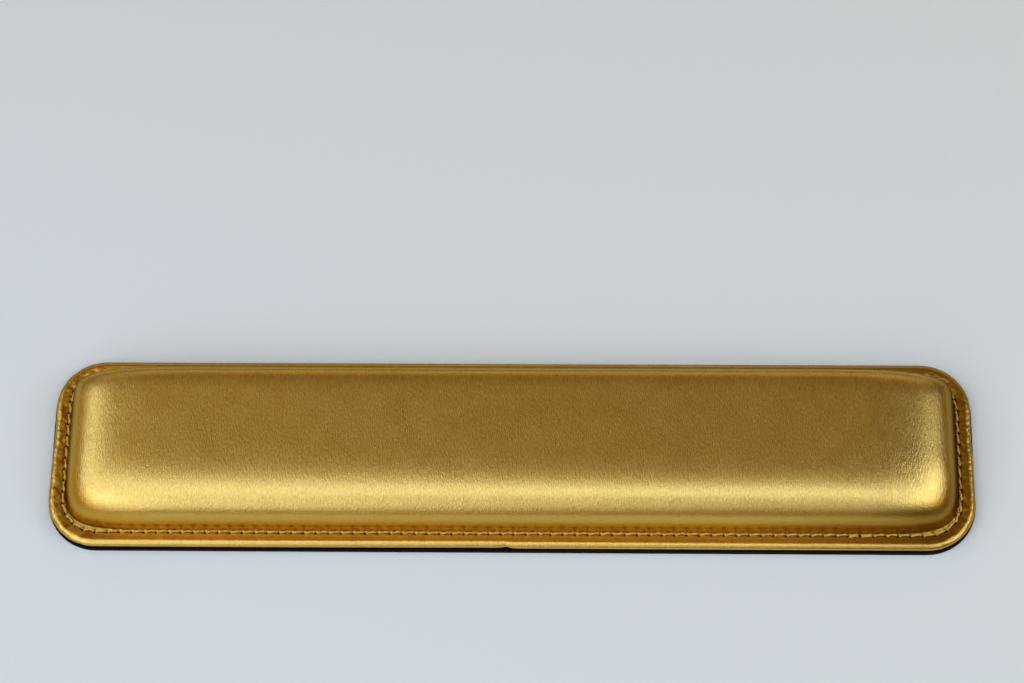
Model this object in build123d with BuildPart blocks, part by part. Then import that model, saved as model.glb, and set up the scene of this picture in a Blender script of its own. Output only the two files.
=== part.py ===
"""Stitched keyboard wrist rest, as its separate pieces.

A foam bar lies on a stiff board. A soft leathercloth cover is stretched over both, turned round
the edge of the board and glued under it as a hem. A sheet of sponge rubber closes the underside,
and one row of lockstitch goes through everything, all the way round.

Millimetres. +X runs along the rest, +Y points away from the user, towards the keyboard, and +Z
is up. The origin is on the desk, under the middle of the rest.
"""

import os
from math import atan2, degrees

from build123d import *

os.makedirs("parts", exist_ok=True)

# Overall sizes
rest_length = 370.0  # leathercloth edge to leathercloth edge
rest_depth = 80.0
rest_height = 23.0  # desk to the highest point of the crown
corner_radius = 20.0  # outer corners, seen from above

# Sheets, from the desk up
rubber_thickness = 2.5  # sponge rubber where the seam squeezes it
rubber_overhang = 0.3  # how far the rubber stands out beyond the leathercloth
cover_thickness = 0.9  # leathercloth with its knitted backing
board_thickness = 1.6
glue_film = 0.05  # adhesive between any two layers
hem_width = 14.0  # leathercloth turned in under the board
hem_clearance = 0.3  # rubber to the cut edge of the hem
edge_fullness = 0.96  # 1 would be a full half round on the rim

# Lockstitch seam
seam_inset = 5.8  # outer edge of the leathercloth to the stitches
stitch_pitch = 4.9
thread_diameter = 0.9
knuckle_growth = 0.3  # the thread bunches up where it bends into a hole
leg_thinning = 0.12  # and is pulled thinner inside the hole
knuckle_setback = 0.3  # bars and legs start this far from the middle of the knuckle
needle_hole_clearance = 0.1
seam_groove_clearance = 0.6
desk_clearance = 0.1  # desk to the lowest point of the under thread
thread_crossing_gap = 0.1  # between the two threads where they lock

# Crown: how far in from its foot each slope runs before it is level, and how square it is
foot_clearance = 0.65  # edge of the seam groove to the foot of the crown
front_slope_run = 33.0
end_slope_run = 55.0
back_squareness = (14.0, 5.0)  # (along the slope, in height): steep, then a round shoulder
front_squareness = (4.0, 3.0)
end_squareness = (4.0, 3.0)
corner_softening = 0.3  # extra corner radius for each millimetre the ends have drawn in
widest_corner = 0.45  # corner radius as a share of the depth left at that level
crown_levels = (0.0, 0.35, 0.6, 0.77, 0.87, 0.93, 0.965, 0.984, 0.993, 0.9975, 0.9995)  # height shares

# What the thread needs: holes it slips through, and grooves that it beds into
knuckle_diameter = thread_diameter + knuckle_growth
leg_diameter = thread_diameter - leg_thinning
needle_hole_diameter = knuckle_diameter + needle_hole_clearance
seam_groove_width = thread_diameter + seam_groove_clearance
top_groove_depth = thread_diameter / 2 + glue_film
under_groove_depth = desk_clearance + knuckle_diameter / 2 + thread_diameter / 2 + glue_film

# Stack of the sheets
hem_bottom = rubber_thickness + glue_film
pocket_bottom = hem_bottom + cover_thickness
board_bottom = pocket_bottom + glue_film
board_top = board_bottom + board_thickness
flange_bottom = board_top + glue_film
flange_top = flange_bottom + cover_thickness
crown_height = rest_height - flange_bottom

edge_round = edge_fullness * (flange_top - hem_bottom) / 2
board_edge_round = edge_fullness * board_thickness / 2
board_inset = cover_thickness + glue_film
foot_inset = seam_inset + seam_groove_width / 2 + foot_clearance
foot_length = rest_length - 2 * foot_inset
foot_depth = rest_depth - 2 * foot_inset
foot_radius = corner_radius - foot_inset
back_slope_run = foot_depth - front_slope_run


def slab(inset, bottom, thickness):
    """A flat sheet whose edge lies inset inside the edge of the leathercloth."""
    with BuildPart() as sheet:
        with BuildSketch(Plane.XY.offset(bottom)):
            RectangleRounded(rest_length - 2 * inset, rest_depth - 2 * inset, corner_radius - inset)
        extrude(amount=thickness)
    return sheet.part


def slope_inset(level, run, squareness):
    """How far the crown has drawn in from its foot at this share of its height."""
    along, upward = squareness
    return run * (1 - (1 - level**upward) ** (1 / along))


def crown(skin):
    """The crowned body, skin inside the outer face of the cover."""
    with BuildPart() as body:
        for level in crown_levels:
            front_in = slope_inset(level, front_slope_run, front_squareness)
            back_in = slope_inset(level, back_slope_run, back_squareness)
            end_in = slope_inset(level, end_slope_run, end_squareness)
            depth = foot_depth - front_in - back_in - 2 * skin
            length = foot_length - 2 * end_in - 2 * skin
            radius = min(foot_radius - skin + corner_softening * end_in, widest_corner * depth)
            height = flange_bottom + level * (crown_height - skin)
            with BuildSketch(Plane.XY.offset(height)):
                with Locations((0, (front_in - back_in) / 2)):
                    RectangleRounded(length, depth, radius)
        loft()
    return body.part


def seam_places(height):
    """One place for each needle hole, turned towards the next hole."""
    with BuildSketch() as seam:
        RectangleRounded(
            rest_length - 2 * seam_inset, rest_depth - 2 * seam_inset, corner_radius - seam_inset
        )
    line = seam.sketch.faces()[0].outer_wire()
    count = round(line.length / stitch_pitch)
    holes = [line.position_at(k / count) for k in range(count)]
    places = []
    for hole, following in zip(holes, holes[1:] + holes[:1]):
        turn = degrees(atan2(following.Y - hole.Y, following.X - hole.X))
        places.append(Location((hole.X, hole.Y, height), (0, 0, turn)))
    reach = (holes[1] - holes[0]).length
    return places, reach


def seam_groove(bottom, depth):
    """The ring-shaped channel that a row of stitches beds into."""
    inner = seam_inset + seam_groove_width / 2
    outer = seam_inset - seam_groove_width / 2
    with BuildPart() as groove:
        add(slab(outer, bottom, depth))
        add(slab(inner, bottom, depth), mode=Mode.SUBTRACT)
    return groove.part


def needle_holes():
    """A round hole through the whole stack for each stitch."""
    places, _ = seam_places(0)
    with BuildPart() as punched:
        with Locations(*places):
            Cylinder(
                needle_hole_diameter / 2,
                flange_top + glue_film,
                align=(Align.CENTER, Align.CENTER, Align.MIN),
            )
    return punched.part


def stitch_row(bar_height, leg_end):
    """One thread: a bar from hole to hole, a knuckle over each hole and a leg into it."""
    places, reach = seam_places(bar_height)
    bar_length = reach - 2 * knuckle_setback
    leg_length = abs(leg_end - bar_height) - knuckle_setback
    side = 1 if leg_end > bar_height else -1
    knuckle_to_leg = Location((0, 0, side * (knuckle_setback + leg_length / 2)))
    knuckle_to_bar = Location((reach / 2, 0, 0))
    with BuildPart() as row:
        with Locations(*places):
            Sphere(knuckle_diameter / 2)
        with Locations(*(place * knuckle_to_leg for place in places)):
            Cylinder(leg_diameter / 2, leg_length)
        with Locations(*(place * knuckle_to_bar for place in places)):
            Cylinder(thread_diameter / 2, bar_length, rotation=(0, 90, 0))
    return row.part


punched_holes = needle_holes()

# Sponge rubber sheet. The seam squeezes its border, and it swells up into the opening of the
# hem until it meets the board.
with BuildPart() as rubber_base:
    add(slab(-rubber_overhang, 0, rubber_thickness))
    add(slab(hem_width + hem_clearance, 0, board_bottom - glue_film))
    add(seam_groove(0, under_groove_depth), mode=Mode.SUBTRACT)
    add(punched_holes, mode=Mode.SUBTRACT)
rubber_base.part.label = "rubber_base"
export_step(rubber_base.part, "parts/rubber_base.step")

# Stiff board that keeps the rest flat and carries the foam and the edge of the cover.
with BuildPart() as board:
    add(slab(board_inset, board_bottom, board_thickness))
    fillet(board.edges().group_by(Axis.Z)[0] + board.edges().group_by(Axis.Z)[-1], board_edge_round)
    add(punched_holes, mode=Mode.SUBTRACT)
board.part.label = "board"
export_step(board.part, "parts/board.step")

# Foam bar, glued to the board and filling the crown of the cover.
with BuildPart() as foam_core:
    add(crown(cover_thickness + glue_film))
foam_core.part.label = "foam_core"
export_step(foam_core.part, "parts/foam_core.step")

# Leathercloth cover: crown, flat border, rounded edge and hem in one piece.
with BuildPart() as board_pocket:
    add(slab(cover_thickness, pocket_bottom, flange_bottom - pocket_bottom))
    pocket_rims = board_pocket.edges().group_by(Axis.Z)
    fillet(pocket_rims[0] + pocket_rims[-1], board_edge_round)
with BuildPart() as cover:
    add(slab(0, hem_bottom, flange_top - hem_bottom))
    fillet(cover.edges().group_by(Axis.Z)[0] + cover.edges().group_by(Axis.Z)[-1], edge_round)
    add(crown(0))
    add(board_pocket.part, mode=Mode.SUBTRACT)
    add(crown(cover_thickness), mode=Mode.SUBTRACT)
    add(slab(hem_width, hem_bottom, cover_thickness), mode=Mode.SUBTRACT)
    add(seam_groove(flange_top - top_groove_depth, top_groove_depth), mode=Mode.SUBTRACT)
    add(punched_holes, mode=Mode.SUBTRACT)
cover.part.label = "cover"
export_step(cover.part, "parts/cover.step")

# Two threads. Each dips into every hole and they lock half way through the stack.
top_bar_height = flange_top - top_groove_depth + glue_film + thread_diameter / 2
under_bar_height = under_groove_depth - glue_film - thread_diameter / 2
lock_height = (top_bar_height + under_bar_height) / 2
with BuildPart() as needle_thread:
    add(stitch_row(top_bar_height, lock_height + thread_crossing_gap / 2))
needle_thread.part.label = "needle_thread"
export_step(needle_thread.part, "parts/needle_thread.step")
with BuildPart() as under_thread:
    add(stitch_row(under_bar_height, lock_height - thread_crossing_gap / 2))
under_thread.part.label = "under_thread"
export_step(under_thread.part, "parts/under_thread.step")
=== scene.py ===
import math

import bpy
import numpy as np
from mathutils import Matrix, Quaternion, Vector, noise


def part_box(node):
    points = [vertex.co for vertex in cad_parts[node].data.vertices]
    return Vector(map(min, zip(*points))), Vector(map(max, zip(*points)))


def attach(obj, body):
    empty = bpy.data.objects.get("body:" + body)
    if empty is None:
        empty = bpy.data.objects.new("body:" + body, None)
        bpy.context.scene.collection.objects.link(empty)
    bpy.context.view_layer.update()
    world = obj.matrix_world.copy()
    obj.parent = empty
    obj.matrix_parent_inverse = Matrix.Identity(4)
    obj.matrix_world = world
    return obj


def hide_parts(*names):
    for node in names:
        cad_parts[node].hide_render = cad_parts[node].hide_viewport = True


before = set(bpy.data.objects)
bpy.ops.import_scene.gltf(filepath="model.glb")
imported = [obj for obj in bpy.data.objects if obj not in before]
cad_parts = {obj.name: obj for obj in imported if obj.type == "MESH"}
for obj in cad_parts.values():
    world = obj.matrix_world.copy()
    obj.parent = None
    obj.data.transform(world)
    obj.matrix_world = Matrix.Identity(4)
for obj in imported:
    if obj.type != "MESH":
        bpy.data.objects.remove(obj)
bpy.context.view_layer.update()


# ---- Rubber base ----
# A sheet of black closed-cell sponge rubber, cut to the outline with a die and glued under the
# turned-in leathercloth. The skin is dull with a fine even pitting, and the cut edge shows the
# small cells.

MM = 0.001


def linear(hex_colour, alpha=1.0):
    """An sRGB hex colour as the linear numbers that a socket takes."""
    channels = [int(hex_colour[k : k + 2], 16) / 255 for k in (1, 3, 5)]
    return [c / 12.92 if c <= 0.04045 else ((c + 0.055) / 1.055) ** 2.4 for c in channels] + [alpha]


def add_node(tree, kind, sockets, **settings):
    """One node with its options set, and each input given a value or a link."""
    made = tree.nodes.new(kind)
    for name, value in settings.items():
        setattr(made, name, value)
    for name, value in sockets.items():
        if isinstance(value, bpy.types.NodeSocket):
            tree.links.new(value, made.inputs[name])
        else:
            made.inputs[name].default_value = value
    return made


def new_material(name):
    """An empty material, its node tree, and the object's own coordinates in metres."""
    material = bpy.data.materials.new(name)
    material.use_nodes = True
    tree = material.node_tree
    tree.nodes.clear()
    coordinates = add_node(tree, "ShaderNodeTexCoord", {})
    return material, tree, coordinates.outputs["Object"]


def give_material(node, material):
    """Gives a solid that is carried over as it is its own material."""
    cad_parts[node].data.materials.clear()
    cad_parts[node].data.materials.append(material)


# Neoprene sponge, moulded as a sheet: near black and dull, with cells about half a millimetre
# across that break the surface up into fine pits. A little dust greys it in patches.
sponge_rubber, tree, place = new_material("sponge_rubber_sheet")
RUBBER_CELL = 0.55 * MM
DUST_PATCH = 7 * MM
cells = add_node(tree, "ShaderNodeTexVoronoi", {"Vector": place, "Scale": 1 / RUBBER_CELL})
dust = add_node(tree, "ShaderNodeTexNoise", {"Vector": place, "Scale": 1 / DUST_PATCH, "Detail": 4.0})
black = add_node(
    tree,
    "ShaderNodeMix",
    {0: dust.outputs["Fac"], 6: linear("#020204"), 7: linear("#060709")},
    data_type="RGBA",
)
dullness = add_node(
    tree,
    "ShaderNodeMapRange",
    {"Value": dust.outputs["Fac"], "To Min": 0.72, "To Max": 0.9},
)
pits = add_node(
    tree,
    "ShaderNodeBump",
    {"Height": cells.outputs["Distance"], "Strength": 0.55, "Distance": 0.25 * MM},
)
rubber_face = add_node(
    tree,
    "ShaderNodeBsdfPrincipled",
    {
        "Base Color": black.outputs[2],
        "Roughness": dullness.outputs["Result"],
        "Specular IOR Level": 0.1,
        "Normal": pits.outputs["Normal"],
    },
)
add_node(tree, "ShaderNodeOutputMaterial", {"Surface": rubber_face.outputs["BSDF"]})
give_material("rubber_base", sponge_rubber)


# ---- Board ----
# A stiffener of grey-brown pressed board, cut a little smaller than the cover. The leathercloth
# is folded round its edge and glued, so none of it shows once the rest is finished.

# Greyboard, pressed from pulp: dull, with short fibres lying mostly along the sheet.
greyboard, tree, place = new_material("pressed_greyboard")
FIBRE = 0.5 * MM
lengthways = add_node(tree, "ShaderNodeMapping", {"Vector": place, "Scale": (0.2, 1.0, 1.0)})
fibres = add_node(
    tree,
    "ShaderNodeTexNoise",
    {"Vector": lengthways.outputs["Vector"], "Scale": 1 / FIBRE, "Detail": 3.0},
)
pulp = add_node(
    tree,
    "ShaderNodeMix",
    {0: fibres.outputs["Fac"], 6: linear("#6e5d4a"), 7: linear("#9a8566")},
    data_type="RGBA",
)
fibre_relief = add_node(
    tree,
    "ShaderNodeBump",
    {"Height": fibres.outputs["Fac"], "Strength": 0.4, "Distance": 0.1 * MM},
)
board_face = add_node(
    tree,
    "ShaderNodeBsdfPrincipled",
    {"Base Color": pulp.outputs[2], "Roughness": 0.9, "Normal": fibre_relief.outputs["Normal"]},
)
add_node(tree, "ShaderNodeOutputMaterial", {"Surface": board_face.outputs["BSDF"]})
give_material("board", greyboard)


# ---- Foam core ----
# A bar of soft polyurethane foam, moulded with a nearly upright back, a rounder front and long
# falling ends. It is glued to the board and gives the rest its crown.

cover_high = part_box("cover")[1]
foam_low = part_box("foam_core")[0]

STITCHES = 169
SAMPLES_PER_STITCH = 12
RING = STITCHES * SAMPLES_PER_STITCH

half_length = cover_high.x
half_depth = cover_high.y
CORNER_RADIUS = 20 * MM
SEAM_INSET = 5.8 * MM
FOOT_INSET = 7.2 * MM
FLANGE_UNDERSIDE = 5.15 * MM
LEATHERCLOTH = 0.9 * MM
FRONT_RUN = 33 * MM
END_RUN = 55 * MM
FRONT_SQUARENESS = 4
BACK_SQUARENESS = 11
END_SQUARENESS = 4
FRONT_FULLNESS = 3
BACK_FULLNESS = 5
END_FULLNESS = 3
CORNER_SOFTNESS = 1.6
SOFTNESS_LOST = 0.9
HALVINGS = 36
foot_length = half_length - FOOT_INSET
foot_depth = half_depth - FOOT_INSET
back_run = 2 * foot_depth - FRONT_RUN
crown_height = cover_high.z - FLANGE_UNDERSIDE

# Every ring of points is laid out as the needle goes: from the middle of the right end, round by
# the back, the left end and the front, in equal steps along the seam.
corner_arc = (CORNER_RADIUS - SEAM_INSET) * math.pi / 2
straight_x = 2 * (half_length - CORNER_RADIUS)
straight_y = 2 * (half_depth - CORNER_RADIUS)
legs = [straight_y / 2, corner_arc, straight_x, corner_arc, straight_y]
legs += [corner_arc, straight_x, corner_arc, straight_y / 2]
turns = np.concatenate([[0.0], np.cumsum(legs)])
seam_length = turns[-1]
stitch_length = seam_length / STITCHES
ring_distance = np.arange(RING) * seam_length / RING


def round_the_seam(distance):
    """How far along each side, and which way outwards, at distances along the seam."""
    along_x = np.interp(distance, turns, [1, 1, 1, -1, -1, -1, -1, 1, 1, 1])
    along_y = np.interp(distance, turns, [0, 1, 1, 1, 1, -1, -1, -1, -1, 0])
    heading = np.interp(distance, turns, np.radians([0, 0, 90, 90, 180, 180, 270, 270, 360, 360]))
    return along_x, along_y, np.cos(heading), np.sin(heading)


side_x, side_y, outward_x, outward_y = round_the_seam(ring_distance)


def rounded_ring(reach_x, reach_y, radius, height, shift=0.0):
    """One closed ring of points, a rectangle with rounded corners."""
    x = side_x * (reach_x - radius) + outward_x * radius
    y = side_y * (reach_y - radius) + outward_y * radius + shift
    return np.stack([x, y, np.full(RING, height)], axis=1)


def slope_left(inwards, run, squareness):
    """The share of a slope still to climb, at a distance in from its foot."""
    return np.clip(1 - inwards / run, 0, 1) ** squareness


def crown_ring(level, skin=0.0, spread=0.0):
    """A ring of the crown at a share of its height, thinner all round by the skin.

    Each point is found by halving the line from the foot to the ridge. The slopes run into each
    other at the corners, more softly the higher the ring.
    """
    reach_x = foot_length - skin
    reach_y = foot_depth - skin
    foot = rounded_ring(reach_x, reach_y, CORNER_RADIUS - FOOT_INSET - skin, 0)
    ridge = np.stack([side_x * (reach_x - END_RUN), np.full(RING, FRONT_RUN - reach_y)], axis=1)
    softness = CORNER_SOFTNESS - SOFTNESS_LOST * level
    outside = np.zeros(RING)
    inside = np.ones(RING)
    for _ in range(HALVINGS):
        share = (outside + inside) / 2
        spot = foot[:, :2] + (ridge - foot[:, :2]) * share[:, None]
        front = slope_left(spot[:, 1] + reach_y, FRONT_RUN, FRONT_SQUARENESS)
        front /= 1 - level**FRONT_FULLNESS
        back = slope_left(reach_y - spot[:, 1], back_run, BACK_SQUARENESS)
        back /= 1 - level**BACK_FULLNESS
        end = slope_left(reach_x - np.abs(spot[:, 0]), END_RUN, END_SQUARENESS)
        end /= 1 - level**END_FULLNESS
        past = front**softness + back**softness + end**softness < 1
        inside = np.where(past, share, inside)
        outside = np.where(past, outside, share)
    ring = np.empty((RING, 3))
    ring[:, 0] = spot[:, 0] + spread * outward_x
    ring[:, 1] = spot[:, 1] + spread * outward_y
    ring[:, 2] = FLANGE_UNDERSIDE + level * (crown_height - skin)
    return ring


def crown_levels(lowest, step):
    """Shares of the crown's height, at even steps up the front slope."""
    fine = np.concatenate([np.linspace(lowest, 0.99, 3000), 1 - np.geomspace(9.9e-3, 1e-4, 400)])
    inwards = FRONT_RUN * (1 - (1 - fine**FRONT_FULLNESS) ** (1 / FRONT_SQUARENESS))
    upwards = fine * crown_height
    run = np.concatenate([[0], np.cumsum(np.hypot(np.diff(inwards), np.diff(upwards)))])
    return np.interp(np.linspace(0, run[-1], int(run[-1] / step)), run, fine)


def mesh_of_rings(name, rings):
    """A closed skin through a stack of rings, capped across at the first and the last."""
    count = len(rings)
    points = np.concatenate(rings)
    k = np.arange(RING)
    nxt = (k + 1) % RING
    quads = []
    for row in range(count - 1):
        low, high = row * RING, (row + 1) * RING
        quads.append(np.stack([low + k, low + nxt, high + nxt, high + k], axis=1))
    half = np.arange(1, RING // 2 - 1)
    for base, flip in ((0, True), ((count - 1) * RING, False)):
        cap = np.stack([half, half + 1, RING - half - 1, RING - half], axis=1) + base
        quads.append(cap[:, ::-1] if flip else cap)
    faces = np.concatenate(quads).tolist()
    for base, flip in ((0, True), ((count - 1) * RING, False)):
        middle = RING // 2
        ends = [[base, base + 1, base + RING - 1], [base + middle - 1, base + middle, base + middle + 1]]
        faces += [face[::-1] if flip else face for face in ends]
    mesh = bpy.data.meshes.new(name)
    mesh.from_pydata(points.tolist(), [], faces)
    mesh.polygons.foreach_set("use_smooth", [True] * len(mesh.polygons))
    mesh.update()
    return mesh


def new_piece(name, mesh, material):
    """A piece of the rest, fixed to its one body."""
    piece = bpy.data.objects.new(name, mesh)
    bpy.context.scene.collection.objects.link(piece)
    mesh.materials.append(material)
    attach(piece, "root")
    return piece


# Polyurethane foam, moulded: pale grey and dull, an open net of cells a little under a
# millimetre across.
foam, tree, place = new_material("moulded_polyurethane_foam")
FOAM_CELL = 0.8 * MM
bubbles = add_node(tree, "ShaderNodeTexVoronoi", {"Vector": place, "Scale": 1 / FOAM_CELL})
foam_colour = add_node(
    tree,
    "ShaderNodeMix",
    {0: bubbles.outputs["Distance"], 6: linear("#a7a69e"), 7: linear("#d2d1c8")},
    data_type="RGBA",
)
foam_relief = add_node(
    tree,
    "ShaderNodeBump",
    {"Height": bubbles.outputs["Distance"], "Strength": 0.8, "Distance": 0.4 * MM},
)
foam_face = add_node(
    tree,
    "ShaderNodeBsdfPrincipled",
    {"Base Color": foam_colour.outputs[2], "Roughness": 0.95, "Normal": foam_relief.outputs["Normal"]},
)
add_node(tree, "ShaderNodeOutputMaterial", {"Surface": foam_face.outputs["BSDF"]})

FOAM_SLACK = 0.15 * MM
FOAM_STEP = 2 * MM

# The flat underside starts from a small ring in its middle: half length, half depth, corners.
MIDDLE_RING = (10 * MM, 6 * MM, 5 * MM)
foam_rings = [rounded_ring(*MIDDLE_RING, foam_low.z + FOAM_SLACK)]
for level in crown_levels(0.02, FOAM_STEP):
    foam_rings.append(crown_ring(level, LEATHERCLOTH + FOAM_SLACK))
foam_bar = new_piece("foam_bar", mesh_of_rings("foam_bar", foam_rings), foam)
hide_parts("foam_core")


# ---- Leathercloth cover ----
# One piece of gold leathercloth, stretched over the foam bar, stitched down round its foot, rolled
# over the board's edge and glued underneath. It is smooth over the crown and puckers in the border,
# most at the ends and corners, where the cut edge was gathered in.

ROLL_RADIUS = 1.75 * MM
ROLL_WIDTH = 2.4 * MM
HEM_WIDTH = 14 * MM
HEM_TAPER = 0.3 * MM
flange_top = FLANGE_UNDERSIDE + LEATHERCLOTH
roll_centre = flange_top - ROLL_RADIUS
hem_bottom = flange_top - 2 * ROLL_RADIUS
hem_top = hem_bottom + LEATHERCLOTH
SEAM_VALLEY = 0.5 * MM
VALLEY_WIDTH = 0.75 * MM
BORDER_SAG = 0.2 * MM
SAG_WIDTH = 2.4 * MM
FOOT_SINK = 0.35 * MM
FILLET_REACH = 0.8 * MM
FILLET_RISE = 2.6 * MM
FILLET_CURVE = 1.7
CROWN_STEP = 0.8 * MM
LINING_STEP = 4 * MM


def border_ring(inset, height):
    """A ring of the flat border, at a distance in from the rolled edge."""
    return rounded_ring(half_length - inset, half_depth - inset, CORNER_RADIUS - inset, height)


def gauss(offset, width):
    """A smooth bump of height one."""
    return np.exp(-((offset / width) ** 2))


rings = []
insets = []


def lay_ring(ring, inset):
    """Adds a ring to the cover, with its distance in from the edge, or minus one if out of sight."""
    rings.append(ring)
    insets.append(inset)


# The cloth's back: down inside the crown, out under the border and round inside the rolled edge.
for level in crown_levels(0.05, LINING_STEP)[::-1]:
    lay_ring(crown_ring(level, LEATHERCLOTH), -1)
for inset in (8, 5, 2):
    lay_ring(border_ring(inset * MM, FLANGE_UNDERSIDE), -1)
for angle in (60, 30, 0, -30, -60):
    tucked = ROLL_RADIUS - (ROLL_RADIUS - LEATHERCLOTH) * math.cos(math.radians(angle))
    height = roll_centre + (ROLL_RADIUS - LEATHERCLOTH) * math.sin(math.radians(angle))
    lay_ring(border_ring(tucked, height), -1)
for inset in (2 * MM, 8 * MM, HEM_WIDTH):
    lay_ring(border_ring(inset, hem_top), -1)

# The cloth's face: out under the hem, round the rolled edge, in over the border and up the crown.
for inset in (HEM_WIDTH, HEM_WIDTH - HEM_TAPER, 11 * MM, 8 * MM, 5 * MM, 3.2 * MM):
    lay_ring(border_ring(inset, hem_bottom), -1)
for angle in range(-90, 91, 10):
    turned = math.radians(angle)
    inset = ROLL_WIDTH * (1 - math.cos(turned))
    height = roll_centre + ROLL_RADIUS * math.sin(turned)
    lay_ring(border_ring(inset, height), inset)
for inset in np.concatenate([np.arange(2.75, 4.7, 0.32), np.arange(4.8, 6.05, 0.14)]) * MM:
    sag = BORDER_SAG * min(1, (inset - ROLL_WIDTH) / SAG_WIDTH)
    height = flange_top - sag - (SEAM_VALLEY - BORDER_SAG) * gauss(inset - SEAM_INSET, VALLEY_WIDTH)
    lay_ring(border_ring(inset, height), inset)
lowest = (flange_top - FOOT_SINK - FLANGE_UNDERSIDE) / crown_height
fillet_levels = lowest + np.array([0, 0.05, 0.13, 0.25, 0.42, 0.65, 0.95, 1.35]) * MM / crown_height
for level in np.concatenate([fillet_levels, crown_levels(fillet_levels[-1], CROWN_STEP)[1:]]):
    rise = (level - lowest) * crown_height
    left = max(0, 1 - rise / FILLET_RISE)
    spread = FILLET_REACH * left**FILLET_CURVE
    lay_ring(crown_ring(level, 0.0, spread), FOOT_INSET + rise)

cover_mesh = mesh_of_rings("leathercloth_cover", rings)
cover_mesh.update()
points = np.concatenate(rings)
normals = np.zeros(points.size)
cover_mesh.vertices.foreach_get("normal", normals)
normals = normals.reshape(-1, 3)
inset_of = np.repeat(np.array(insets), RING)
distance_of = np.tile(ring_distance, len(rings))


def noise_at(places, size, seed):
    """Smooth random heights from about minus one to one, with hills a given size across."""
    shift = Vector((seed * 7.3, seed * 3.1, seed * 5.7))
    return np.array([noise.noise(Vector(p) / size + shift) for p in places])


# The border is gathered at the ends and corners and lies flatter along the front and the back.
# Its puckers are 1 to 3 mm across, with fine creases running in from the edge between them.
PUCKER_SIZE = 2.6 * MM
SMALL_PUCKER_SIZE = 1.3 * MM
PUCKER_HEIGHT = 0.21 * MM
CREASE_LENGTH = 9 * MM
CREASE_DEPTH = 0.03 * MM
CREASE_SHARE = 0.16
FLAT_SHARE = 0.22
GATHER_END = 0.8 * MM
out_x, out_y = round_the_seam(distance_of)[2:]
gathered = np.clip(FLAT_SHARE + np.abs(out_x) ** 0.5, 0, 1)
seen = inset_of >= 0
on_border = seen & (inset_of < FOOT_INSET)
puckered = on_border * np.clip((FOOT_INSET - inset_of) / GATHER_END, 0, 1) * gathered
spots = np.flatnonzero(on_border)
pucker = np.zeros(len(points))
pucker[spots] += 0.6 * noise_at(points[spots], PUCKER_SIZE, 1)
pucker[spots] += 0.45 * noise_at(points[spots], SMALL_PUCKER_SIZE, 2)
unrolled = np.stack([distance_of / PUCKER_SIZE, inset_of / CREASE_LENGTH, 0 * inset_of], axis=1)
crease = np.zeros(len(points))
crease[spots] = np.abs(noise_at(unrolled[spots], 1.0, 3))
move = puckered * PUCKER_HEIGHT * pucker
move -= puckered * CREASE_DEPTH * np.clip(CREASE_SHARE - crease, 0, 1) / CREASE_SHARE

# Each needle hole is a short slot, set slantwise by the pull of the thread, and the skin dimples
# down into it. Where the seam was finished, towards the right of the front, the slot is longer
# and stands nearly upright.
HOLE_LENGTH = 0.9 * MM
HOLE_WIDTH = 0.58 * MM
HOLE_OUTWARDS = 0.3 * MM
HOLE_DEPTH = 0.22 * MM
HOLE_SLANT = math.radians(-24)
DIMPLE_DEPTH = 0.1 * MM
DIMPLE_LENGTH = 1.3 * MM
DIMPLE_WIDTH = 0.9 * MM
FINISH_PLACE = 137 * MM
FINISH_LENGTH = 1.35 * MM
FINISH_SLANT = math.radians(-78)
finish_hole = round((turns[6] + straight_x / 2 + FINISH_PLACE) / stitch_length)
at_finish = np.abs(distance_of - finish_hole * stitch_length) < stitch_length / 2
hole_slant = np.where(at_finish, FINISH_SLANT, HOLE_SLANT)
to_hole = (distance_of + stitch_length / 2) % stitch_length - stitch_length / 2
across = inset_of - SEAM_INSET + HOLE_OUTWARDS
slot_along = to_hole * np.cos(hole_slant) + across * np.sin(hole_slant)
slot_across = -to_hole * np.sin(hole_slant) + across * np.cos(hole_slant)
slot_length = np.where(at_finish, FINISH_LENGTH, HOLE_LENGTH)
hole = np.exp(-((slot_along / slot_length) ** 4) - (slot_across / HOLE_WIDTH) ** 4)
hole = np.where(on_border, hole, 0)
dimple = np.where(on_border, gauss(to_hole, DIMPLE_LENGTH) * gauss(across, DIMPLE_WIDTH), 0)
move -= HOLE_DEPTH * hole + DIMPLE_DEPTH * dimple

# On the crown's foot the skin carries faint flutes, one for each stitch, that die out upwards.
FLUTE_DEPTH = 0.02 * MM
FLUTE_HEIGHT = 2.5 * MM
rise_of = np.clip(inset_of - FOOT_INSET, 0, None)
on_crown = seen & (inset_of >= FOOT_INSET)
flutes = np.cos(2 * math.pi * distance_of / stitch_length)
move -= np.where(on_crown, FLUTE_DEPTH * flutes * np.exp(-rise_of / FLUTE_HEIGHT), 0)
moved = points + normals * move[:, None]

# Half way along each end the rolled edge steps in by a third of a millimetre towards the back,
# where two gathers of the hem meet.
EDGE_STEP = 0.35 * MM
STEP_PLACE = 1.5 * MM
STEP_LENGTH = 0.5 * MM
STEP_FADE = 22 * MM
STEP_END = half_depth - 8 * MM
OUTER_INSET = 4.5 * MM
OUTER_FADE = 3 * MM
outer = on_border * np.clip((OUTER_INSET - inset_of) / OUTER_FADE, 0, 1)
step = 0.5 + 0.5 * np.tanh((points[:, 1] - STEP_PLACE) / STEP_LENGTH)
fading = np.clip((STEP_END - points[:, 1]) / STEP_FADE, 0, 1)
inwards = EDGE_STEP * step * fading * outer * np.abs(out_x) ** 8
moved[:, 0] -= np.sign(points[:, 0]) * inwards

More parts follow.
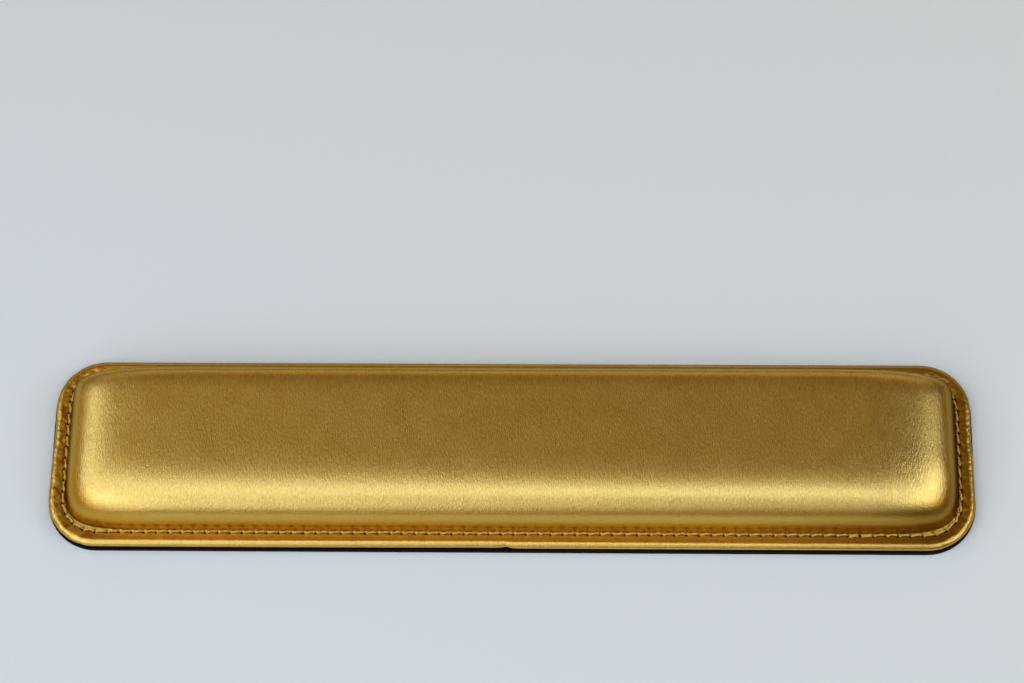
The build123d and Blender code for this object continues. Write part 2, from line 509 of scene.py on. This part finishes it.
# Near the middle of the front the rolled edge has a small pinch, and to the left of it the roll
# lies a little further in.
PINCH_PLACE = -1 * MM
PINCH_DEPTH = 0.45 * MM
PINCH_WIDTH = 1.8 * MM
TUCK_DEPTH = 0.3 * MM
TUCK_LENGTH = 90 * MM
TUCK_START = 0.7 * MM
to_pinch = points[:, 0] - PINCH_PLACE
left_of_pinch = 0.5 - 0.5 * np.tanh(to_pinch / TUCK_START)
tuck = TUCK_DEPTH * left_of_pinch * np.clip(1 + to_pinch / TUCK_LENGTH, 0, 1)
low_side = np.clip((flange_top - points[:, 2]) / ROLL_RADIUS, 0, 1)
pinch = PINCH_DEPTH * low_side * gauss(to_pinch, PINCH_WIDTH)
moved[:, 1] += np.where(out_y < 0, (tuck + pinch) * outer * np.abs(out_y) ** 8, 0)
moved[:, 2] = np.maximum(moved[:, 2], hem_bottom)
cover_mesh.vertices.foreach_set("co", moved.ravel())
cover_mesh.update()


def mark_skin(name, shares):
    """Keeps a share from nought to one at each point of the cover, for its material to read."""
    marks = cover_mesh.attributes.new(name, "FLOAT", "POINT")
    marks.data.foreach_set("value", shares.astype(np.float32))


# Painted shade and painted reflection: the gold is deeper and more orange in the border and on the
# lowest 8 mm of the crown, fading over the next 5 mm, where the gold mirrors itself at the foot,
# and only a little deeper on the rolled edge.
FOOT_SHADE_TOP = 13 * MM
FOOT_SHADE_FADE = 5 * MM
EDGE_INSET = 1.3 * MM
EDGE_FADE = 1.2 * MM
EDGE_SHARE = 0.3
foot_shade = np.where(seen, np.clip((FOOT_SHADE_TOP - rise_of) / FOOT_SHADE_FADE, 0, 1), 1.0)
from_edge = (inset_of - EDGE_INSET) / EDGE_FADE
foot_shade *= np.clip(EDGE_SHARE + (1 - EDGE_SHARE) * from_edge, EDGE_SHARE, 1)

# Painted shade: the border is painted browner towards the right end, a little at the left end, and
# in the crease at the foot of the two front corners.
RIGHT_SHADE_FROM = 90 * MM
RIGHT_SHADE_OVER = 80 * MM
LEFT_SHADE_FROM = 150 * MM
LEFT_SHADE_OVER = 30 * MM
LEFT_SHADE_SHARE = 0.3
CORNER_FROM = 152 * MM
CORNER_OVER = 14 * MM
FRONT_FROM = 8 * MM
FRONT_OVER = 10 * MM
CREASE_INSET = 7 * MM
CREASE_WIDTH = 1.6 * MM
SHADE_MOST = 0.9
end_and_crease_shade = np.clip((points[:, 0] - RIGHT_SHADE_FROM) / RIGHT_SHADE_OVER, 0, 1)
end_and_crease_shade += LEFT_SHADE_SHARE * np.clip((-points[:, 0] - LEFT_SHADE_FROM) / LEFT_SHADE_OVER, 0, 1)
front_corner = np.clip((np.abs(points[:, 0]) - CORNER_FROM) / CORNER_OVER, 0, 1)
front_corner *= np.clip((-points[:, 1] - FRONT_FROM) / FRONT_OVER, 0, 1)
end_and_crease_shade = np.clip(end_and_crease_shade + front_corner * gauss(inset_of - CREASE_INSET, CREASE_WIDTH), 0, 1)
mark_skin("needle_hole", hole)
# The border mark carries the painted shade and painted reflection at the crown's foot.
mark_skin("border", foot_shade)
mark_skin("puckered", puckered)
# This mark is painted shade on the ends and in the crease of the front corners.
mark_skin("end_and_crease_shade", SHADE_MOST * end_and_crease_shade * foot_shade)

# Leathercloth with a metallic gold face, printed and then embossed: flake under a thin clear
# coat, so the light on it is broad and soft. Its hair grain runs across the bar in ridges that
# sway a little. The real ridges and pores are about 0.2 mm wide, and they are drawn twice as
# coarse, because finer ones don't show at this size.
leathercloth, tree, place = new_material("gold_leathercloth")
GRAIN_WIDTH = 0.42 * MM
GRAIN_RELIEF = 0.13 * MM
GRAIN_SWAY = 5 * MM
SWAY_WIDTH = 1.1 * MM
PORE = 0.5 * MM
CLOUD = 9 * MM
MOTTLE = 2.4 * MM
sway = add_node(tree, "ShaderNodeTexNoise", {"Vector": place, "Scale": 1 / GRAIN_SWAY, "Detail": 1.0})
swayed = add_node(
    tree,
    "ShaderNodeVectorMath",
    {0: sway.outputs["Color"], 1: (SWAY_WIDTH, 0.0, 0.0), 2: place},
    operation="MULTIPLY_ADD",
)
combed = add_node(
    tree,
    "ShaderNodeMapping",
    {"Vector": swayed.outputs["Vector"], "Scale": (1.0, 0.24, 0.6)},
)
grain = add_node(
    tree,
    "ShaderNodeTexNoise",
    {"Vector": combed.outputs["Vector"], "Scale": 1 / GRAIN_WIDTH, "Detail": 1.5},
)
pores = add_node(tree, "ShaderNodeTexVoronoi", {"Vector": place, "Scale": 1 / PORE})
cloud = add_node(tree, "ShaderNodeTexNoise", {"Vector": place, "Scale": 1 / CLOUD, "Detail": 3.0})
ink_depth = add_node(
    tree,
    "ShaderNodeMapRange",
    {"Value": grain.outputs["Fac"], "From Min": 0.3, "From Max": 0.7},
)
print_tone = add_node(
    tree,
    "ShaderNodeMix",
    {0: 0.35, 2: ink_depth.outputs["Result"], 3: cloud.outputs["Fac"]},
    data_type="FLOAT",
)
gold = add_node(
    tree,
    "ShaderNodeMix",
    {0: print_tone.outputs[0], 6: linear("#c8ae4c"), 7: linear("#efd780")},
    data_type="RGBA",
)

# The puckered border is mottled in lighter and darker patches about 2.4 mm across.
mottle = add_node(tree, "ShaderNodeTexNoise", {"Vector": place, "Scale": 1 / MOTTLE, "Detail": 3.0})
patches = add_node(
    tree,
    "ShaderNodeMapRange",
    {"Value": mottle.outputs["Fac"], "From Min": 0.36, "From Max": 0.64},
)
where_puckered = add_node(tree, "ShaderNodeAttribute", {}, attribute_name="puckered")
patches_there = add_node(
    tree,
    "ShaderNodeMix",
    {0: where_puckered.outputs["Fac"], 2: 0.5, 3: patches.outputs["Result"]},
    data_type="FLOAT",
)
# This deeper gold is painted shade and painted reflection, laid on the border and the crown's foot.
foot_shade_gold = add_node(
    tree,
    "ShaderNodeMix",
    {0: patches_there.outputs[0], 6: linear("#b68228"), 7: linear("#f1cc50")},
    data_type="RGBA",
)
where_foot_shade = add_node(tree, "ShaderNodeAttribute", {}, attribute_name="border")
with_foot_shade = add_node(
    tree,
    "ShaderNodeMix",
    {0: where_foot_shade.outputs["Fac"], 6: gold.outputs[2], 7: foot_shade_gold.outputs[2]},
    data_type="RGBA",
)
# The browner gold below is painted shade on the ends and in the crease of the front corners.
where_end_shade = add_node(tree, "ShaderNodeAttribute", {}, attribute_name="end_and_crease_shade")
darkened = add_node(
    tree,
    "ShaderNodeMix",
    {0: where_end_shade.outputs["Fac"], 6: with_foot_shade.outputs[2], 7: linear("#9c7621")},
    data_type="RGBA",
)
# The needle holes are painted near black and not metallic: painted shade inside the holes.
where_hole = add_node(tree, "ShaderNodeAttribute", {}, attribute_name="needle_hole")
surface_colour = add_node(
    tree,
    "ShaderNodeMix",
    {0: where_hole.outputs["Fac"], 6: darkened.outputs[2], 7: linear("#0c0602")},
    data_type="RGBA",
)
satin = add_node(
    tree,
    "ShaderNodeMapRange",
    {"Value": cloud.outputs["Fac"], "To Min": 0.26, "To Max": 0.32},
)
face_only = add_node(
    tree,
    "ShaderNodeMapRange",
    {"Value": where_hole.outputs["Fac"], "To Min": 0.95, "To Max": 0.0},
)
relief = add_node(
    tree,
    "ShaderNodeMix",
    {0: 0.25, 2: grain.outputs["Fac"], 3: pores.outputs["Distance"]},
    data_type="FLOAT",
)
grain_relief = add_node(
    tree,
    "ShaderNodeBump",
    {"Height": relief.outputs[0], "Strength": 1.0, "Distance": GRAIN_RELIEF},
)
gold_face = add_node(
    tree,
    "ShaderNodeBsdfPrincipled",
    {
        "Base Color": surface_colour.outputs[2],
        "Metallic": face_only.outputs["Result"],
        "Roughness": satin.outputs["Result"],
        "Coat Weight": 0.25,
        "Coat Roughness": 0.25,
        "Specular Tint": linear("#5a3c18"),
        "Normal": grain_relief.outputs["Normal"],
    },
)
add_node(tree, "ShaderNodeOutputMaterial", {"Surface": gold_face.outputs["BSDF"]})
leathercloth_cover = new_piece("leathercloth_cover", cover_mesh, leathercloth)
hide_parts("cover")


# ---- Needle thread ----
# The upper thread of the lockstitch seam: gold polyester, two strands laid together with a slow
# twist. Each stitch comes up at the outer side of its hole and goes down at the inner side of
# the next one, so the row looks like a rope. The two stitches at the seam's finish are sewn twice.

STRAND_RADIUS = 0.26 * MM
STRAND_OFFSET = 0.2 * MM
STITCH_SECTIONS = 22
STRAND_SIDES = 8
SEAM_FLOOR = flange_top - SEAM_VALLEY
FIRST_PASS = (0, 0)
SECOND_PASS = (-0.5, 0.12)
FINISH_GAP = 0.55 * MM
STRAY_SPREAD = 0.06


def smooth_path(controls, count):
    """Points on one smooth line through the control points."""
    controls = np.array([controls[0] * 2 - controls[1], *controls, controls[-1] * 2 - controls[-2]])
    spans = len(controls) - 3
    made = []
    for t in np.linspace(0, spans, count):
        k = min(int(t), spans - 1)
        u = t - k
        before, start, end, after = controls[k : k + 4]
        bend = 2 * before - 5 * start + 4 * end - after
        bend_and_twist = bend + u * (3 * (start - end) + after - before)
        made.append(start + 0.5 * u * (end - before + u * bend_and_twist))
    return np.array(made)


def strand(points, faces, line, phase, twist):
    """Adds one of the two strands, a round tube that winds about the stitch's middle line."""
    first = len(points)
    direction = np.gradient(line, axis=0)
    direction /= np.linalg.norm(direction, axis=1)[:, None]
    for k, (spot, ahead) in enumerate(zip(line, direction)):
        aside = np.cross(ahead, (0, 0, 1))
        aside /= np.linalg.norm(aside) + 1e-9
        above = np.cross(aside, ahead)
        turn = phase + twist * k / (len(line) - 1)
        centre = spot + STRAND_OFFSET * (math.cos(turn) * aside + math.sin(turn) * above)
        for m in range(STRAND_SIDES):
            round_it = 2 * math.pi * m / STRAND_SIDES
            outwards = math.cos(round_it) * aside + math.sin(round_it) * above
            points.append(centre + STRAND_RADIUS * outwards)
    for k in range(len(line) - 1):
        for m in range(STRAND_SIDES):
            a = first + k * STRAND_SIDES + m
            b = first + k * STRAND_SIDES + (m + 1) % STRAND_SIDES
            faces.append([a, a + STRAND_SIDES, b + STRAND_SIDES, b])
    faces.append([first + m for m in range(STRAND_SIDES)])
    last = len(points) - STRAND_SIDES
    faces.append([last + m for m in range(STRAND_SIDES)][::-1])


hole_distance = np.arange(STITCHES + 1) * stitch_length
hole_side_x, hole_side_y, hole_out_x, hole_out_y = round_the_seam(hole_distance % seam_length)
seam_reach_x = half_length - SEAM_INSET
seam_reach_y = half_depth - SEAM_INSET
seam_radius = CORNER_RADIUS - SEAM_INSET
hole_x = hole_side_x * (seam_reach_x - seam_radius) + hole_out_x * seam_radius
hole_y = hole_side_y * (seam_reach_y - seam_radius) + hole_out_y * seam_radius
rng = np.random.default_rng(11)
thread_points = []
thread_faces = []
for k in range(STITCHES):
    here = np.array([hole_x[k], hole_y[k], SEAM_FLOOR])
    there = np.array([hole_x[k + 1], hole_y[k + 1], SEAM_FLOOR])
    ahead = (there - here) / np.linalg.norm(there - here)
    inner = np.array([-ahead[1], ahead[0], 0])
    reach = np.linalg.norm(there - here)
    stray = rng.normal(0, STRAY_SPREAD, 4)
    up = np.array([0, 0, 1.0])
    passes = [FIRST_PASS]
    if k in (finish_hole - 1, finish_hole):
        passes.append(SECOND_PASS)
    if k == finish_hole - 1:
        reach -= FINISH_GAP

    # How far along the stitch, how far inwards and how high the thread lies, in millimetres.
    marks = [
        (0.95, -0.3, -1.1),
        (0.97, -0.26, -0.15),
        (1.22, -0.2 + stray[0], 0.26),
        (2.2, 0.02 + stray[1], 0.44 + stray[2] * 0.5),
        (reach / MM - 1.6, 0.18 + stray[3], 0.46),
        (reach / MM - 0.95, 0.26, 0.36),
        (reach / MM - 0.55, 0.28, 0.1),
        (reach / MM - 0.38, 0.24, -0.3),
        (reach / MM - 0.36, 0.2, -1.1),
    ]
    for aside, above in passes:
        controls = []
        for along, inwards, height in marks:
            offset = along * ahead + (inwards + aside) * inner + (height + above) * up
            controls.append(here + offset * MM)
        line = smooth_path(controls, STITCH_SECTIONS)
        phase = rng.uniform(0, math.pi)
        twist = 2 * math.pi * rng.uniform(0.85, 1.15)
        strand(thread_points, thread_faces, line, phase, twist)
        strand(thread_points, thread_faces, line, phase + math.pi, twist)
thread_mesh = bpy.data.meshes.new("needle_stitches")
thread_mesh.from_pydata([list(p) for p in thread_points], [], thread_faces)
thread_mesh.polygons.foreach_set("use_smooth", [True] * len(thread_mesh.polygons))
thread_mesh.update()

# Bonded polyester filament, dyed gold: a soft silky gloss, with the fine filaments just visible
# as an unevenness along the strand. They are drawn much coarser than they are, so that they show.
gold_thread, tree, place = new_material("gold_polyester_thread")
FILAMENT = 0.35 * MM
filament = add_node(tree, "ShaderNodeTexNoise", {"Vector": place, "Scale": 1 / FILAMENT, "Detail": 2.0})
dyed = add_node(
    tree,
    "ShaderNodeMix",
    {0: filament.outputs["Fac"], 6: linear("#b99134"), 7: linear("#e8cd68")},
    data_type="RGBA",
)
fuzz = add_node(
    tree,
    "ShaderNodeBump",
    {"Height": filament.outputs["Fac"], "Strength": 0.3, "Distance": 0.08 * MM},
)
thread_face = add_node(
    tree,
    "ShaderNodeBsdfPrincipled",
    {
        "Base Color": dyed.outputs[2],
        "Roughness": 0.5,
        "Sheen Weight": 0.2,
        "Sheen Roughness": 0.4,
        "Normal": fuzz.outputs["Normal"],
    },
)
add_node(tree, "ShaderNodeOutputMaterial", {"Surface": thread_face.outputs["BSDF"]})
needle_stitches = new_piece("needle_stitches", thread_mesh, gold_thread)
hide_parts("needle_thread")


# ---- Under thread ----
# The bobbin thread of the same seam: polyester again, but dyed black. The lockstitch pulls it up
# into a groove of the rubber sheet, so it doesn't touch the desk.

# Bonded polyester filament, dyed black: dull, with a slow twist that shows as slanting ridges.
dark_thread, tree, place = new_material("black_polyester_thread")
RIDGE = 0.5 * MM
slanted = add_node(tree, "ShaderNodeTexWave", {"Vector": place, "Scale": 0.3 / RIDGE, "Distortion": 1.0})
twist_relief = add_node(
    tree,
    "ShaderNodeBump",
    {"Height": slanted.outputs["Fac"], "Strength": 0.4, "Distance": 0.15 * MM},
)
black_dye = add_node(
    tree,
    "ShaderNodeMix",
    {0: slanted.outputs["Fac"], 6: linear("#141214"), 7: linear("#2c292b")},
    data_type="RGBA",
)
dark_face = add_node(
    tree,
    "ShaderNodeBsdfPrincipled",
    {"Base Color": black_dye.outputs[2], "Roughness": 0.6, "Normal": twist_relief.outputs["Normal"]},
)
add_node(tree, "ShaderNodeOutputMaterial", {"Surface": dark_face.outputs["BSDF"]})
give_material("under_thread", dark_thread)


# ---- Desk, light and camera ----
# A pale desk top, soft daylight from above, the front and both sides, a weak warm light from
# behind, and a dim warm room that the gold mirrors. The camera looks down from the front.

# Matt laminate on board: pale, with a speckle so faint that it only keeps the surface from
# looking flat. A metre away it passes into the pale backdrop that stands behind it.
desk_top, tree, place = new_material("pale_laminate")
SPECKLE = 1.2 * MM
tiny = add_node(tree, "ShaderNodeTexNoise", {"Vector": place, "Scale": 1 / SPECKLE, "Detail": 2.0})
laminate = add_node(
    tree,
    "ShaderNodeMix",
    {0: tiny.outputs["Fac"], 6: linear("#e0f1ef"), 7: linear("#e5f5f1")},
    data_type="RGBA",
)
BACKDROP = linear("#c8ced2")
FADE_START = 0.65
FADE_END = 1.25
outwards = add_node(tree, "ShaderNodeVectorMath", {0: place}, operation="LENGTH")
fade = add_node(
    tree,
    "ShaderNodeMapRange",
    {"Value": outwards.outputs["Value"], "From Min": FADE_START, "From Max": FADE_END},
    interpolation_type="SMOOTHSTEP",
)
gloss = add_node(
    tree,
    "ShaderNodeMapRange",
    {"Value": fade.outputs["Result"], "To Min": 0.3, "To Max": 0.0},
)
faded = add_node(
    tree,
    "ShaderNodeMix",
    {0: fade.outputs["Result"], 6: laminate.outputs[2], 7: (0, 0, 0, 1)},
    data_type="RGBA",
)
desk_face = add_node(
    tree,
    "ShaderNodeBsdfPrincipled",
    {
        "Base Color": faded.outputs[2],
        "Roughness": 0.55,
        "Specular IOR Level": gloss.outputs["Result"],
        "Emission Color": BACKDROP,
        "Emission Strength": fade.outputs["Result"],
    },
)
add_node(tree, "ShaderNodeOutputMaterial", {"Surface": desk_face.outputs["BSDF"]})
DESK_REACH = 6.0
desk_corners = [(x * DESK_REACH, y * DESK_REACH, 0) for x, y in ((-1, -1), (1, -1), (1, 1), (-1, 1))]
desk_mesh = bpy.data.meshes.new("desk")
desk_mesh.from_pydata(desk_corners, [], [(0, 1, 2, 3)])
desk = bpy.data.objects.new("desk", desk_mesh)
bpy.context.scene.collection.objects.link(desk)
desk_mesh.materials.append(desk_top)

DAYLIGHT = (0.9, 1.0, 1.38)


def soft_light(name, spot, aim, width, depth, brightness):
    """A flat panel of daylight, turned towards its aim, that looks as bright as the number given."""
    lamp = bpy.data.lights.new(name, "AREA")
    lamp.shape = "RECTANGLE"
    lamp.size = width
    lamp.size_y = depth
    lamp.energy = brightness * math.pi * width * depth
    lamp.color = DAYLIGHT
    panel = bpy.data.objects.new(name, lamp)
    bpy.context.scene.collection.objects.link(panel)
    panel.location = spot
    panel.rotation_mode = "QUATERNION"
    panel.rotation_quaternion = (Vector(aim) - Vector(spot)).to_track_quat("-Z", "Y")
    return panel


# Two panels hang above, two stand in front, and one stands at each side. The one behind is warm.
soft_light("panel_above_left", (-0.5, -0.105, 1.4), (-0.5, 0, 0), 0.8, 0.65, 1.2)
soft_light("panel_above_right", (0.3, -0.22, 1.4), (0.3, 0, 0), 0.8, 0.43, 1.55)
soft_light("panel_front_left", (-0.825, -0.981, 1.0), (-0.825, 0, 0), 1.35, 1.46, 1.1)
soft_light("panel_front", (0.225, -0.833, 1.125), (0.225, 0, 0), 0.75, 0.95, 0.4)
soft_light("panel_left", (-1.064, -0.06, 0.941), (0, 0, 0), 1.65, 0.45, 1.6)
panel_right = soft_light("panel_right", (1.03, -0.19, 0.96), (0, 0, 0), 1.32, 0.75, 2.1)
panel_right.data.color = (0.94, 0.96, 1.14)
panel_back = soft_light("panel_back", (0.0, 1.4, 0.75), (0, 0, 0), 2.6, 0.7, 0.45)
panel_back.data.color = (1.0, 0.76, 0.44)

# The room: brighter to the left and darker behind. Looked at straight, it is the pale backdrop.
world = bpy.data.worlds.new("studio")
bpy.context.scene.world = world
world.use_nodes = True
tree = world.node_tree
tree.nodes.clear()
around = add_node(tree, "ShaderNodeTexCoord", {})
sideways = add_node(tree, "ShaderNodeSeparateXYZ", {"Vector": around.outputs["Generated"]})
to_right = add_node(
    tree,
    "ShaderNodeMapRange",
    {"Value": sideways.outputs["X"], "From Min": 0.0, "From Max": 0.13},
)
to_back = add_node(
    tree,
    "ShaderNodeMapRange",
    {"Value": sideways.outputs["Y"], "From Min": 0.35, "From Max": 0.65},
)
room = add_node(
    tree,
    "ShaderNodeMix",
    {0: to_right.outputs["Result"], 6: linear("#a68220"), 7: linear("#5c3d0c")},
    data_type="RGBA",
)
room_behind = add_node(
    tree,
    "ShaderNodeMix",
    {0: to_back.outputs["Result"], 6: room.outputs[2], 7: linear("#5c3b0c")},
    data_type="RGBA",
)
path = add_node(tree, "ShaderNodeLightPath", {})
seen_straight = add_node(
    tree,
    "ShaderNodeMix",
    {0: path.outputs["Is Camera Ray"], 6: room_behind.outputs[2], 7: BACKDROP},
    data_type="RGBA",
)
surround = add_node(tree, "ShaderNodeBackground", {"Color": seen_straight.outputs[2], "Strength": 1.0})
add_node(tree, "ShaderNodeOutputWorld", {"Surface": surround.outputs["Background"]})

camera = bpy.data.cameras.new("camera")
camera.lens = 105.4
camera.sensor_width = 36
camera.clip_end = 50
viewer = bpy.data.objects.new("camera", camera)
bpy.context.scene.collection.objects.link(viewer)
eye = Vector((31.11, -460.15, 1118.56)) * MM
target = Vector((-0.43, 52.17, 0.0)) * MM
viewer.location = eye
viewer.rotation_mode = "QUATERNION"
CAMERA_ROLL = Quaternion((0, 0, 1), math.radians(-2.986))
viewer.rotation_quaternion = (target - eye).to_track_quat("-Z", "Y") @ CAMERA_ROLL
bpy.context.scene.camera = viewer
bpy.context.scene.view_settings.view_transform = "Standard"
